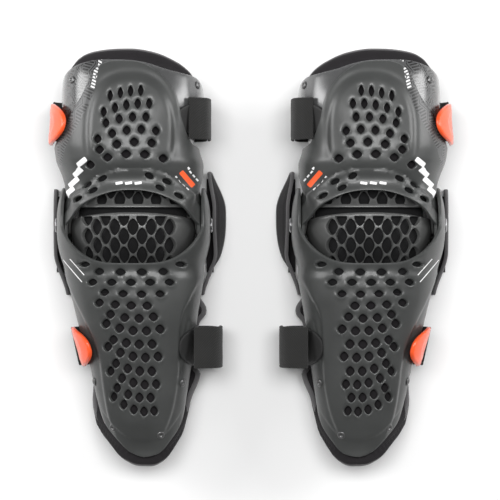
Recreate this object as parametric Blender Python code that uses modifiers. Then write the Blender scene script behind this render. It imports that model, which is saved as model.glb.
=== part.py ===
"""A pair of hinged motocross knee guards, lying on their backs with the fronts facing +Z.

Metres, +Z up. The thigh ends point to +Y and the shin ends to -Y. The left-hand guard is modelled in
millimetres about its own hinge axis (across, along, out), and the right-hand one is its mirror image.
Every hard layer near the knee is a surface of revolution about the hinge axis, so that the layers
turn inside one another.
"""

import math

import bmesh
import bpy
from mathutils import Matrix, Vector

MM = 0.001

# Driving dimensions, in millimetres unless named otherwise.
GUARD_X = 119.0  # hinge centre of each guard from the middle of the pair
HINGE_Y = 33.0  # puts the middle of the pair's length at the origin
HINGE_Z = 40.0  # height of the hinge axis over the surface that the straps lie on
KNEE_WIDTH = 78.0  # half the width over the shin shell at the hinge
KNEE_RADIUS = 75.0  # front of the shells from the hinge axis
SQUARENESS = 2.5  # exponent of the superellipse that every section follows
EAR_RADIUS = 38.0  # round ends of the shells about the hinge
BLEND_START = 32.0  # distance along the leg where the knee's shape starts to become the leg's
BLEND_END = 54.0
SHELL = 3.0  # thickness of the hard shells
PLATE = 2.0
FOAM = 9.0
WEBBING = 2.2
STRAP_HALF_WIDTH = 20.0
TAB = 2.5
TAB_HALF_WIDTH = 21.0
GAP = 0.3  # between touching pieces
PIN_RADIUS = 4.0
RIVET_RADIUS = 2.0
RIVET_HEAD = 4.2

# How far each layer's outer face lies outside the mould, the shin shell's outer face.
SHIN_LEVEL = 0.0
THIGH_EAR_LEVEL = -6.0
UPPER_GUARD_LEVEL = -11.0
CUP_LEVEL = -14.2
KNEE_PAD_LEVEL = -19.2
DOME_LEVEL = 4.8
PLATE_LEVEL = -0.6
THIGH_LINER_LEVEL = -5.4
SHIN_LINER_LEVEL = -5.0


def through(points):
    """A smooth curve through (x, y) points, as a function of x, level at each turn and past both ends."""
    slopes = [0.0]
    for before, here, after in zip(points, points[1:], points[2:]):
        turns_back = (after[1] - here[1]) * (here[1] - before[1]) <= 0
        slopes.append(0.0 if turns_back else (after[1] - before[1]) / (after[0] - before[0]))
    slopes.append(0.0)

    def value(x):
        if x <= points[0][0]:
            return points[0][1]
        if x >= points[-1][0]:
            return points[-1][1]
        i = max(k for k in range(len(points)) if points[k][0] <= x)
        (x0, y0), (x1, y1) = points[i], points[i + 1]
        span = x1 - x0
        f = (x - x0) / span
        return (
            y0 * (1 + 2 * f) * (1 - f) ** 2
            + y1 * f * f * (3 - 2 * f)
            + span * (slopes[i] * f * (1 - f) ** 2 - slopes[i + 1] * f * f * (1 - f))
        )

    return value


# The leg's section at each distance along it: middle, half width, and height of the crown.
MIDDLE = through([(-234, 11), (-209, 10), (-175, 8), (-142, 7), (-105, 4), (-60, 2), (-30, 0), (0, 0),
                  (40, 0), (60, -3), (80, -7), (105, -4.5), (130, -1), (170, -2)])
HALF_WIDTH = through([(-234, 33), (-209, 38.5), (-175, 45.5), (-142, 51.5), (-105, 59), (-75, 65),
                      (-55, 69.5), (-32, 74.5), (0, 78), (38, 75), (55, 71), (80, 68.5), (105, 69.5),
                      (130, 72.5), (150, 70.5), (170, 66)])
CROWN = through([(-234, 22), (-209, 29), (-180, 37), (-150, 44), (-120, 51), (-90, 57), (-60, 61.5),
                 (-38, 65), (0, 75), (38, 66), (60, 66), (90, 64.5), (120, 60), (150, 53), (175, 46)])


def smooth(low, high, x):
    f = min(max((x - low) / (high - low), 0), 1)
    return f * f * (3 - 2 * f)


def section(turn):
    """(across, out) of the unit section at this angle from the crown, in degrees."""
    across, out = math.sin(math.radians(turn)), math.cos(math.radians(turn))
    size = (abs(across) ** SQUARENESS + abs(out) ** SQUARENESS) ** (-1 / SQUARENESS)
    return across * size, out * size


def mould(turn, along, level):
    """The point of the layer at this angle and distance along the leg, from the hinge centre."""
    across, out = section(turn)
    crown = MIDDLE(along) + (HALF_WIDTH(along) + level) * across
    leg = Vector((crown, along, (CROWN(along) + level) * out))
    radius = KNEE_RADIUS + level
    near = max(min(along, radius * 0.97), -radius * 0.97)
    rise = math.sqrt(radius**2 - near**2) * out
    share = (near**2 + rise**2) / radius**2
    side = (KNEE_WIDTH + level) * max(1 - share ** (SQUARENESS / 2), 0) ** (1 / SQUARENESS)
    knee = Vector((math.copysign(side, across), along, rise))
    return knee.lerp(leg, smooth(BLEND_START, BLEND_END, abs(along)))


def outward(turn, along, level):
    """The direction straight out of the layer at this point."""
    step = 0.5
    across = mould(turn + step, along, level) - mould(turn - step, along, level)
    lengthwise = mould(turn, along + step, level) - mould(turn, along - step, level)
    return across.cross(lengthwise).normalized()


def turn_at(across, along, level):
    """The angle at which the layer passes this place, as seen from the front."""
    low, high = -90.0, 90.0
    for _ in range(40):
        middle = (low + high) / 2
        if mould(middle, along, level).x < across:
            low = middle
        else:
            high = middle
    return low


def ear(radius, out):
    """Half the length of a round ear of this radius where the section stands this far out."""
    return math.sqrt(max(radius**2 - (KNEE_RADIUS * out) ** 2, 0) / (1 - out**2))


# ---------------------------------------------------------------- collections, empties and materials


def fresh_scene():
    for obj in list(bpy.data.objects):
        bpy.data.objects.remove(obj, do_unlink=True)
    for name in ("knee_guards", "cutters"):
        bpy.context.scene.collection.children.link(bpy.data.collections.new(name))
    bpy.data.collections["cutters"].hide_render = True


def material(name, colour, roughness, metallic=0.0):
    made = bpy.data.materials.new(name)
    made.use_nodes = True
    shader = made.node_tree.nodes["Principled BSDF"]
    shader.inputs["Base Color"].default_value = (*colour, 1)
    shader.inputs["Roughness"].default_value = roughness
    shader.inputs["Metallic"].default_value = metallic
    return made


SHELL_GREY = (0.115, 0.116, 0.114)
PLATE_GREY = (0.10, 0.10, 0.10)
LINER = (0.026, 0.020, 0.026)
WEB_BLACK = (0.022, 0.021, 0.020)
ORANGE = (1.0, 0.13, 0.03)
RIVET_GREY = (0.16, 0.16, 0.16)
STEEL = (0.35, 0.35, 0.36)


class Guard:
    """One guard: its side of the pair, and the empties that stand on its hinge axis."""

    def __init__(self, side):
        self.side = side
        self.hand = 1 if side == "left" else -1
        self.hinge = Vector((-GUARD_X * self.hand, HINGE_Y, HINGE_Z))
        self.frames = {}
        for body in ("shin", "thigh", "cup", "upper_guard"):
            self.frames[body] = self.empty(body, Vector((0, 0, 0)))

    def empty(self, body, place):
        frame = bpy.data.objects.new(f"{self.side}_{body}_frame", None)
        frame.empty_display_size = 0.02
        frame.location = self.flip(place) * MM + self.hinge * MM
        bpy.data.collections["knee_guards"].objects.link(frame)
        return frame

    def flip(self, point):
        return Vector((point.x * self.hand, point.y, point.z))

    def add(self, name, mesh, body, colour, roughness, metallic=0.0):
        """Adds a mesh in metres, made about its frame, mirrored on the right-hand guard."""
        if self.hand < 0:
            mesh.transform(Matrix.Scale(-1, 4, (1, 0, 0)))
            mesh.flip_normals()
        full_name = f"{self.side}_{name}"
        obj = bpy.data.objects.new(full_name, mesh)
        mesh.materials.append(material(full_name, colour, roughness, metallic))
        obj.parent = self.frames[body]
        bpy.data.collections["knee_guards"].objects.link(obj)
        return obj

    def sheet(self, name, body, place, columns, rows, thickness, colour, roughness, origin=None):
        """An open sheet, place(s, q) for s and q from -1 to 1, made solid towards the leg."""
        sheet = bmesh.new()
        bmesh.ops.create_grid(sheet, x_segments=columns, y_segments=rows, size=1)
        for vert in sheet.verts:
            vert.co = (place(vert.co.x, vert.co.y) - (origin or Vector())) * MM
        mesh = bpy.data.meshes.new(name)
        sheet.to_mesh(mesh)
        sheet.free()
        obj = self.add(name, mesh, body, colour, roughness)
        obj.data.shade_smooth()
        solid = obj.modifiers.new("thickness", "SOLIDIFY")
        solid.thickness = thickness * MM
        solid.offset = -1
        return obj

    def turned(self, name, body, profile, place, axis, colour, roughness, metallic=0.0, steps=12):
        """A turned piece: profile is (radius, height) from top to bottom, its axis through place."""
        mesh = bpy.data.meshes.new(name)
        shape = bmesh.new()
        verts = [shape.verts.new(Vector((r, 0, h)) * MM) for r, h in profile]
        for first, second in zip(verts, verts[1:]):
            shape.edges.new((first, second))
        shape.to_mesh(mesh)
        shape.free()
        obj = bpy.data.objects.new(f"{self.side}_{name}", mesh)
        mesh.materials.append(material(obj.name, colour, roughness, metallic))
        obj.parent = self.frames[body]
        obj.location = self.flip(place) * MM
        obj.rotation_mode = "QUATERNION"
        obj.rotation_quaternion = self.flip(axis).to_track_quat("Z", "Y")
        bpy.data.collections["knee_guards"].objects.link(obj)
        screw = obj.modifiers.new("turn", "SCREW")
        screw.steps = screw.render_steps = steps
        screw.use_merge_vertices = True
        screw.merge_threshold = 0.00005
        screw.use_smooth_shade = True
        return obj

    def hole(self, name, targets, place, axis, radius, length, sides=8):
        """Drills a round hole through each of the targets."""
        mesh = bpy.data.meshes.new(name)
        drill = bmesh.new()
        bmesh.ops.create_cone(drill, cap_ends=True, segments=sides, radius1=radius * MM,
                              radius2=radius * MM, depth=length * MM)
        drill.to_mesh(mesh)
        drill.free()
        cutter = bpy.data.objects.new(f"{self.side}_{name}", mesh)
        cutter.location = (self.flip(place) + self.hinge) * MM
        cutter.rotation_mode = "QUATERNION"
        cutter.rotation_quaternion = self.flip(axis).to_track_quat("Z", "Y")
        cutter.hide_render = True
        cutter.display_type = "WIRE"
        bpy.data.collections["cutters"].objects.link(cutter)
        for target in targets:
            cut = target.modifiers.new(name, "BOOLEAN")
            cut.operation = "DIFFERENCE"
            cut.object = cutter


# ---------------------------------------------------------------- outlines of the shells

SHELL_TURN = 114.0  # how far round the leg the shells reach, in degrees from the crown
CORNER_SHARE = 0.5  # the part of a sheet's columns that lie in front of the eye's corners
CORNER_ACROSS = KNEE_WIDTH * (1 - (EAR_RADIUS / KNEE_RADIUS) ** SQUARENESS) ** (1 / SQUARENESS)
CORNER_TURN = math.degrees(math.atan2(CORNER_ACROSS / KNEE_WIDTH, EAR_RADIUS / KNEE_RADIUS))
ARC_TOP = 34.5  # the thigh shell's lower edge over the knee
ARC_BOTTOM = -38.0  # the shin shell's upper edge


def spread(s):
    """Turns an even column position into an angle, with a column on each corner of the eye."""
    if abs(s) < CORNER_SHARE:
        return s / CORNER_SHARE * CORNER_TURN
    rest = (abs(s) - CORNER_SHARE) / (1 - CORNER_SHARE)
    return math.copysign(CORNER_TURN + rest * (SHELL_TURN - CORNER_TURN), s)


def thigh_low(turn):
    """The thigh shell's lower edge: the eye's upper arc, then round the ear."""
    across, out = section(turn)
    if abs(turn) < CORNER_TURN - 0.01:
        share = abs(across) * KNEE_WIDTH / CORNER_ACROSS
        return ARC_TOP * (1 - min(share, 1) ** 2.4)
    return -ear(EAR_RADIUS, out)


def shin_high(turn):
    """The shin shell's upper edge: the eye's lower arc, then round the ear."""
    across, out = section(turn)
    if abs(turn) < CORNER_TURN - 0.01:
        share = abs(across) * KNEE_WIDTH / CORNER_ACROSS
        return ARC_BOTTOM * (1 - min(share, 1) ** 4) ** 0.75
    return ear(EAR_RADIUS, out)


THIGH_HIGH = through([(-114, 76), (-85, 78), (-68, 83), (-54, 94), (-45, 113), (-36, 131), (-28, 154),
                      (-18, 163), (0, 164), (12, 161), (21, 153), (30, 139), (37, 122), (44, 105),
                      (54, 88), (63, 81), (85, 78), (114, 76)])
PLATE_HIGH = through([(-112, 118), (-90, 132), (-75, 147), (-60, 156), (-45, 162), (-25, 165.5),
                      (0, 165), (15, 162), (30, 156), (45, 152), (60, 149), (75, 143), (90, 132),
                      (112, 118)])
PLATE_LOW = through([(-112, 70), (-62, 70), (-45, 88), (-30, 122), (-15, 144), (0, 148), (12, 146),
                     (24, 132), (36, 104), (48, 78), (62, 70), (112, 70)])
SHIN_LOW = through([(-114, -168), (-95, -182), (-75, -196), (-61, -205), (-46, -215), (-36, -223),
                    (-25, -229), (0, -234), (25, -231), (36, -226), (46, -218), (61, -207),
                    (75, -196), (95, -182), (114, -168)])


def thigh_level(turn, along):
    """The thigh shell runs inside the shin's ears and rises to a dome over the thigh plate.

    It leaves the ears' level soonest straight above the hinge, where no part of the shin shell passes.
    """
    forward = KNEE_RADIUS * section(turn)[1]
    reach = math.hypot(along, forward)
    angle = math.degrees(math.atan2(along, forward))
    clear = smooth(14, 48, angle) * (1 - smooth(98, 112, angle))
    level = THIGH_EAR_LEVEL * (1 - smooth(47 - 7 * clear, 70 - 20 * clear, reach))
    return level + DOME_LEVEL * smooth(48, 66, along)


def between(low, high, q):
    return low + (high - low) * (q + 1) / 2


# ---------------------------------------------------------------- the hard shells


def thigh_shell(guard):
    def place(s, q):
        turn = spread(s)
        along = between(thigh_low(turn), THIGH_HIGH(turn), q)
        return mould(turn, along, thigh_level(turn, along))

    return guard.sheet("thigh_shell", "thigh", place, 24, 10, SHELL, SHELL_GREY, 0.42)


def thigh_plate(guard):
    def place(s, q):
        turn = s * 112
        along = between(PLATE_LOW(turn), PLATE_HIGH(turn), q)
        return mould(turn, along, PLATE_LEVEL)

    return guard.sheet("thigh_plate", "thigh", place, 20, 3, PLATE, PLATE_GREY, 0.3)


def shin_shell(guard):
    def place(s, q):
        turn = spread(s)
        along = between(SHIN_LOW(turn), shin_high(turn), q)
        return mould(turn, along, SHIN_LEVEL)

    return guard.sheet("shin_shell", "shin", place, 24, 10, SHELL, SHELL_GREY, 0.42)


ARM_TURN = 99.0  # the arms of the inner guards pass the hinge pin by this much
ARM_FRONT = 0.62  # the section's height, as a share of the crown, where an arm begins


def inner_guard(guard, name, level, low, high, arm, rows, thickness):
    """A guard that turns under the shells: a patch over the knee with an arm down to each pin."""

    def place(s, q):
        turn = s * ARM_TURN
        _, out = section(turn)
        narrow = smooth(ARM_FRONT, 0.2, out) if out < ARM_FRONT else 0
        bottom = low + (-arm - low) * narrow
        top = high + (arm - high) * narrow
        return mould(turn, between(bottom, top, q), level)

    return guard.sheet(name, {"knee_cup": "cup"}.get(name, name), place, 18, rows, thickness,
                       SHELL_GREY, 0.45)


# ---------------------------------------------------------------- soft parts


def liner(guard, name, body, level, low, high, columns, rows, flare=None):
    """A foam liner under the shells. flare gives how far each side's edge spreads out behind them."""

    def place(s, q):
        last = max(abs(s) - FLARE_SHARE, 0) / (1 - FLARE_SHARE)
        turn = min(abs(s) / FLARE_SHARE, 1) * LINER_FOLD + last * (LINER_TURN - LINER_FOLD)
        turn = math.copysign(turn, s)
        along = between(low(turn), high(turn), q)
        start = FLARE_START(along)
        behind = max(abs(turn) - start, 0) / (LINER_TURN - start)
        point = mould(turn, along, level)
        if flare:
            point.x += math.copysign(flare[turn > 0](along), turn) * behind
        return point

    return guard.sheet(name, body, place, columns, rows, FOAM, LINER, 0.9)


LINER_TURN = 123.5
LINER_FOLD = 117.0  # behind the shells' edges
FLARE_START = through([(-234, 38), (-215, 60), (-205, 75), (-196, 89), (-182, 107), (-170, LINER_FOLD)])
FLARE_SHARE = 0.9  # the part of a liner's columns in front of it
THIGH_LINER_HIGH = through([(-122, 122), (-100, 142), (-75, 158), (-50, 170), (-25, 175), (0, 176),
                            (25, 172), (45, 164), (60, 156), (75, 148), (100, 138), (122, 122)])
THIGH_LINER_LOW = through([(-122, 66), (-70, 62), (-35, 50), (0, 46), (35, 50), (70, 62), (122, 66)])
SHIN_LINER_LOW = through([(-122, -206), (-100, -214), (-75, -224), (-50, -235), (-25, -241), (0, -242.5),
                          (25, -242), (50, -236), (75, -226), (100, -217), (122, -210)])
SHIN_LINER_HIGH = through([(-122, -56), (-70, -58), (0, -61), (70, -58), (122, -56)])
FLARE_OUTER = through([(-240, 13), (-212, 17), (-185, 18), (-160, 13), (-145, 6), (-103, 5), (-97, 6),
                       (-85, 15), (-70, 14), (-56, 5)])
FLARE_INNER = through([(-240, 6), (-212, 10), (-178, 16), (-152, 23), (-145, 17), (-103, 15.5),
                       (-97, 16.5), (-89, 22), (-84, 21), (-74, 13), (-56, 5)])


def knee_pad(guard):
    def place(s, q):
        turn = s * 66
        return mould(turn, between(-40, 38, q), KNEE_PAD_LEVEL)

    return guard.sheet("knee_pad", "shin", place, 10, 5, 8, LINER, 0.9)


WING_LOW = -70.0
WING_TOP, WING_FLOOR = -11.0, -38.5  # out from the hinge axis
WING_TUCK = 12.6  # how far a wing's lower end comes in to meet the shin liner
WING_CLEAR = 79.3  # keeps the wings outside everything that turns


def knee_wing(guard, name, hand, reach, thickness, high, lean):
    """A padded side flap of the liner behind the hinge. It bulges out most near the hinge.

    It reaches this high along the leg, and leans in towards the thigh shell at its top.
    """

    def place(s, q):
        along = between(WING_LOW, high, s)
        bulge = max(1 - abs((along - 8) / 50) ** 2.4, 0)
        half = (WING_TOP - WING_FLOOR) / 2 * (0.5 + 0.5 * bulge)
        out = WING_FLOOR + half * (1 + q * hand)
        across = WING_CLEAR + thickness + reach * bulge * (WING_TOP - out) / (WING_TOP - WING_FLOOR)
        across -= lean * smooth(16, 52, along) + WING_TUCK * smooth(28, 76, -along)
        return Vector((across * hand, along, out))

    return guard.sheet(name, "shin", place, 12, 2, thickness, LINER, 0.9)


def strap_path(points):
    """Length along a strap's route, and the place at each share of it."""
    lengths = [0.0]
    for first, second in zip(points, points[1:]):
        lengths.append(lengths[-1] + math.dist(first, second))
    across = through([(far, p[0]) for far, p in zip(lengths, points)])
    out = through([(far, p[1]) for far, p in zip(lengths, points)])
    return lengths[-1], across, out


def strap(guard, name, body, points, along, columns, thickness, half_width=STRAP_HALF_WIDTH, slant=0):
    """Webbing that follows (across, out) points round the leg, its middle at this distance along.

    slant turns its far end, so that it meets a clip on a tapering shell squarely.
    """
    total, across, out = strap_path(points)

    def place(s, q):
        far = total * (s + 1) / 2
        aside = q * half_width
        turned = slant * aside * smooth(0.7, 0.95, far / total)
        return Vector((across(far) + turned, along + aside, out(far)))

    return guard.sheet(name, body, place, columns, 1, thickness, WEB_BLACK, 0.85)


# ---------------------------------------------------------------- clips


def clip(guard, name, level, middle, half, front, edge):
    """A D-shaped clip over the shell's outer edge, and the axis along its flat side that it turns on."""
    axis_middle = mould(-edge, middle, level)
    guard.frames[name] = guard.empty(name, axis_middle)

    def place(s, q):
        share = (q + 1) / 2
        width = half * math.sqrt(max(1 - (0.985 * (1 - share)) ** 2.4, 0))
        along = middle + s * width
        turn = -(front + (edge - front) * share)
        return mould(turn, along, level)

    def turned_place(s, q):
        return place(q, -s)

    return guard.sheet(name, name, turned_place, 6, 6, 4.0, ORANGE, 0.35, origin=axis_middle)


def clip_stud(guard, name, body, middle, turn):
    """The post on the shell that a clip snaps over."""
    level = PLATE_LEVEL if body == "thigh" else SHIN_LEVEL
    place = mould(-turn, middle, level)
    height = 2.6
    profile = [(0.01, GAP + height), (3.2, GAP + height), (3.2, GAP), (0.01, GAP)]
    return guard.turned(name, body, profile, place, outward(-turn, middle, level), STEEL, 0.4, 0.9, 8)


# ---------------------------------------------------------------- fasteners


def rivet(guard, name, body, shell, turn, along, level):
    """A domed rivet whose shank passes through the shell."""
    place = mould(turn, along, level)
    axis = outward(turn, along, level)
    guard.hole(f"{name}_hole", [shell], place, axis, RIVET_RADIUS + GAP, 2 * SHELL + 2)
    profile = [(0.01, 1.6), (RIVET_HEAD * 0.6, 1.3), (RIVET_HEAD, GAP), (RIVET_RADIUS, GAP),
               (RIVET_RADIUS, -PLATE), (0.01, -PLATE)]
    return guard.turned(name, body, profile, place, axis, RIVET_GREY, 0.35, 0.2, 8)


def hinge(guard, name, hand, shells):
    """The pin through the four ears of one side, and the washer that holds it inside."""
    axis = Vector((hand, 0, 0))
    outer = KNEE_WIDTH + GAP
    inner = KNEE_WIDTH + CUP_LEVEL - SHELL - 1.5
    guard.hole(f"{name}_hole", shells, Vector((hand * 70, 0, 0)), axis, PIN_RADIUS + GAP, 30, 12)
    head = [(0.01, outer + 1.8), (5.5, outer + 1.6), (7.5, outer + 0.6), (7.5, outer),
            (PIN_RADIUS, outer), (PIN_RADIUS, inner - 4), (0.01, inner - 4)]
    guard.turned(f"hinge_pin_{name}", "shin", head, Vector((0, 0, 0)), axis, STEEL, 0.35, 0.9)
    bore = PIN_RADIUS + GAP
    washer = [(bore, inner), (8, inner), (8, inner - 2), (bore, inner - 2), (bore, inner)]
    guard.turned(f"hinge_washer_{name}", "shin", washer, Vector((0, 0, 0)), axis, STEEL, 0.4, 0.9)


# ---------------------------------------------------------------- one guard, and the pair

UPPER_STRAP_ALONG = 106.0
LOWER_STRAP_ALONG = -123.0
FLOOR = -HINGE_Z  # the surface that the straps lie on, from the hinge axis
UPPER_STRAP = [(64, 36), (70, 27), (73, 14), (73.5, -4), (72.5, -20), (68, -32), (58, -38.7),
               (44, FLOOR), (0, FLOOR), (-46, FLOOR), (-62, -38.4), (-73.5, -32), (-80, -20),
               (-81.5, -9)]
UPPER_TAB = [(66, 40.5), (74, 31), (77, 16), (77.3, -3), (76, -20)]
LOWER_STRAP = [(66, 28), (78, 23), (84, 12), (84.6, -6), (83, -22), (79.5, -34.5), (74, FLOOR),
               (62, FLOOR), (10, FLOOR), (-24, FLOOR), (-38, -38.9), (-50, -33), (-57, -22),
               (-59.5, -9)]
LOWER_TAB = [(70, 33), (82, 27), (88, 15), (89, -4), (87.5, -20)]
LOWER_STRAP_SLANT = -0.22


def build(side):
    guard = Guard(side)
    thigh = thigh_shell(guard)
    plate = thigh_plate(guard)
    shin = shin_shell(guard)
    upper = inner_guard(guard, "upper_guard", UPPER_GUARD_LEVEL, 18, 45, 9, 4, 2.0)
    cup = inner_guard(guard, "knee_cup", CUP_LEVEL, -52, 10, 9, 7, SHELL)
    hinge(guard, "inner", 1, [thigh, shin, upper, cup])
    hinge(guard, "outer", -1, [thigh, shin, upper, cup])

    liner(guard, "thigh_liner", "thigh", THIGH_LINER_LEVEL, THIGH_LINER_LOW, THIGH_LINER_HIGH, 20, 5)
    liner(guard, "shin_liner", "shin", SHIN_LINER_LEVEL, SHIN_LINER_LOW, SHIN_LINER_HIGH, 20, 8,
          (FLARE_OUTER, FLARE_INNER))
    knee_pad(guard)
    knee_wing(guard, "knee_wing_inner", 1, 10.0, 4.5, 54, 6.0)
    knee_wing(guard, "knee_wing_outer", -1, 0.8, 2.6, 36, 0.6)

    strap(guard, "upper_strap", "thigh", UPPER_STRAP, UPPER_STRAP_ALONG, 18, WEBBING)
    strap(guard, "upper_strap_tab", "thigh", UPPER_TAB, UPPER_STRAP_ALONG, 6, TAB, TAB_HALF_WIDTH)
    strap(guard, "lower_strap", "shin", LOWER_STRAP, LOWER_STRAP_ALONG, 18, WEBBING,
          slant=LOWER_STRAP_SLANT)
    strap(guard, "lower_strap_tab", "shin", LOWER_TAB, LOWER_STRAP_ALONG, 6, TAB, TAB_HALF_WIDTH)

    clip(guard, "upper_clip", 10.4, 102, 21, 47, 93)
    clip(guard, "lower_clip", 8.0, LOWER_STRAP_ALONG, 20, 45, 93)
    clip_stud(guard, "upper_clip_stud", "thigh", 102, 76)
    clip_stud(guard, "lower_clip_stud", "shin", LOWER_STRAP_ALONG, 76)

    rivet(guard, "thigh_rivet_inner", "thigh", plate, 63, 141, PLATE_LEVEL)
    rivet(guard, "thigh_rivet_outer", "thigh", plate, -52, 146, PLATE_LEVEL)
    for name, across, along in (("outer_upper", -39, -158), ("inner_upper", 50, -159),
                                ("outer_lower", -20, -204), ("inner_lower", 28, -211)):
        turn = turn_at(across, along, SHIN_LEVEL)
        rivet(guard, f"shin_rivet_{name}", "shin", shin, turn, along, SHIN_LEVEL)


fresh_scene()
build("left")
build("right")
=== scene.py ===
"""The looks of a pair of hinged motocross knee guards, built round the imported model.

Every piece is made once, for the left-hand guard, in millimetres about its hinge (across, along, out),
then placed in metres for both guards, the right-hand one as a mirror image.
"""

import math

import bmesh
import bpy
from mathutils import Matrix, Vector, geometry, kdtree

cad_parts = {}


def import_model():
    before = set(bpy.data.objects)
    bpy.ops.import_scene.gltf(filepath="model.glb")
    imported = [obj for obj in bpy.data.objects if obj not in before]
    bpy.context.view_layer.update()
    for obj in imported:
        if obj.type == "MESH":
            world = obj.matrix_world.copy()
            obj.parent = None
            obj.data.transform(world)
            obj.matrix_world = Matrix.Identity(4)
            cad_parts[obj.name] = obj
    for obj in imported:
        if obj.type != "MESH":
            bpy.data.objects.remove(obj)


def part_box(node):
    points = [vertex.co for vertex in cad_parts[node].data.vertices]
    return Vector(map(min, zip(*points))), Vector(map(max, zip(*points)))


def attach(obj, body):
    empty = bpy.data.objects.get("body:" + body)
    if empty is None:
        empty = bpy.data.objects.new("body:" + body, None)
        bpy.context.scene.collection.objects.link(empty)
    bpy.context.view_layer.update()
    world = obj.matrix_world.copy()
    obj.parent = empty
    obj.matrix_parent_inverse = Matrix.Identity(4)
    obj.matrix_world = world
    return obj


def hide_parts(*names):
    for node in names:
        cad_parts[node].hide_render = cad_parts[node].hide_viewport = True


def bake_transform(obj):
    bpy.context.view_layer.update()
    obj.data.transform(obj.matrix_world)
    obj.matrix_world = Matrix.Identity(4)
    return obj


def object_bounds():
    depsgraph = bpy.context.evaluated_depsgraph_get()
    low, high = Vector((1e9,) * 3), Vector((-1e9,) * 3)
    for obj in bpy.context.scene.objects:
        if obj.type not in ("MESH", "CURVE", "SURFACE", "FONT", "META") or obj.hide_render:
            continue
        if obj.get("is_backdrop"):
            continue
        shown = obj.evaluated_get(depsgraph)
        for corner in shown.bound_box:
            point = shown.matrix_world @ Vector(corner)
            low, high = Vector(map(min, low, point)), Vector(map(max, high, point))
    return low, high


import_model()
cad_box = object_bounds()

MM = 0.001

# The mould that every layer follows, as in the frame's own shells, in millimetres.
KNEE_WIDTH = 78.0
KNEE_RADIUS = 75.0
SQUARENESS = 2.5
EAR_RADIUS = 38.0
BLEND_START = 32.0
BLEND_END = 54.0
SHELL = 3.0
SHELL_TURN = 114.0
ARC_TOP = 34.5
ARC_BOTTOM = -38.0

THIGH_EAR_LEVEL = -6.0
UPPER_GUARD_LEVEL = -11.0
CUP_LEVEL = -14.2
DOME_LEVEL = 4.8
PLATE_LEVEL = -0.6
RATE = 1.4  # millimetres of arc for a degree of turn, near enough for laying out a flat sheet


def hinge_centre(side):
    """The hinge's centre, from the two hinge pins that stand on its axis."""
    low_in, high_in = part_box(f"{side}_hinge_pin_inner")
    low_out, high_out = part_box(f"{side}_hinge_pin_outer")
    return (low_in + high_in + low_out + high_out) / 4


# -------- the mould


def smooth(low, high, x):
    """0 at low, 1 at high, level past both ends. high may be the smaller one."""
    f = min(max((x - low) / (high - low), 0), 1)
    return f * f * (3 - 2 * f)


def hump(x, middle, width):
    """1 at the middle, and falling to nothing a few widths away."""
    return math.exp(-(((x - middle) / width) ** 2))


def through(points):
    """A smooth curve through (x, y) points, as a function of x, level at each turn and past both ends."""
    slopes = [0.0]
    for before, here, after in zip(points, points[1:], points[2:]):
        turns_back = (after[1] - here[1]) * (here[1] - before[1]) <= 0
        slopes.append(0.0 if turns_back else (after[1] - before[1]) / (after[0] - before[0]))
    slopes.append(0.0)

    def value(x):
        if x <= points[0][0]:
            return points[0][1]
        if x >= points[-1][0]:
            return points[-1][1]
        i = max(k for k in range(len(points)) if points[k][0] <= x)
        (x0, y0), (x1, y1) = points[i], points[i + 1]
        span = x1 - x0
        f = (x - x0) / span
        return (
            y0 * (1 + 2 * f) * (1 - f) ** 2
            + y1 * f * f * (3 - 2 * f)
            + span * (slopes[i] * f * (1 - f) ** 2 - slopes[i + 1] * f * f * (1 - f))
        )

    return value


MIDDLE = through([
    (-234, 11), (-209, 10), (-175, 8), (-142, 7), (-105, 4), (-60, 2), (-30, 0), (0, 0), (40, 0),
    (60, -3), (80, -7), (105, -4.5), (130, -1), (170, -2)
])
HALF_WIDTH = through([
    (-234, 33), (-209, 38.5), (-175, 45.5), (-142, 51.5), (-105, 59), (-75, 65), (-55, 69.5), (-32, 74.5),
    (0, 78), (38, 75), (55, 71), (80, 68.5), (105, 69.5), (130, 72.5), (150, 70.5), (170, 66)
])
CROWN = through([
    (-234, 22), (-209, 29), (-180, 37), (-150, 44), (-120, 51), (-90, 57), (-60, 61.5), (-38, 65),
    (0, 75), (38, 66), (60, 66), (90, 64.5), (120, 60), (150, 53), (175, 46)
])


def superellipse(angle, wide, high, power):
    """The point at this angle of a superellipse with these half sizes."""
    c, s = math.cos(angle), math.sin(angle)
    size = (abs(c) ** power + abs(s) ** power) ** (-1 / power)
    return wide * c * size, high * s * size


def section(turn):
    """(across, out) of the unit section at this angle from the crown, in degrees."""
    out, across = superellipse(math.radians(turn), 1, 1, SQUARENESS)
    return across, out


def mould(turn, along, level):
    """The point of the layer at this angle and distance along the leg, from the hinge centre."""
    across, out = section(turn)
    crown = MIDDLE(along) + (HALF_WIDTH(along) + level) * across
    leg = Vector((crown, along, (CROWN(along) + level) * out))
    share_of_leg = smooth(BLEND_START, BLEND_END, abs(along))
    if share_of_leg == 1:
        return leg
    radius = KNEE_RADIUS + level
    near = max(min(along, radius * 0.97), -radius * 0.97)
    rise = math.sqrt(radius**2 - near**2) * out
    share = (near**2 + rise**2) / radius**2
    side = (KNEE_WIDTH + level) * max(1 - share ** (SQUARENESS / 2), 0) ** (1 / SQUARENESS)
    knee = Vector((math.copysign(side, across), along, rise))
    return knee.lerp(leg, share_of_leg)


def outward(turn, along, level):
    """The direction straight out of the layer at this point."""
    step = 0.5
    across = mould(turn + step, along, level) - mould(turn - step, along, level)
    lengthwise = mould(turn, along + step, level) - mould(turn, along - step, level)
    return across.cross(lengthwise).normalized()


def turn_at(across, along, level=0.0):
    """The angle at which the layer passes this place, as seen from the front."""
    low, high = -90.0, 90.0
    for _ in range(24):
        middle = (low + high) / 2
        if mould(middle, along, level).x < across:
            low = middle
        else:
            high = middle
    return low


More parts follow.
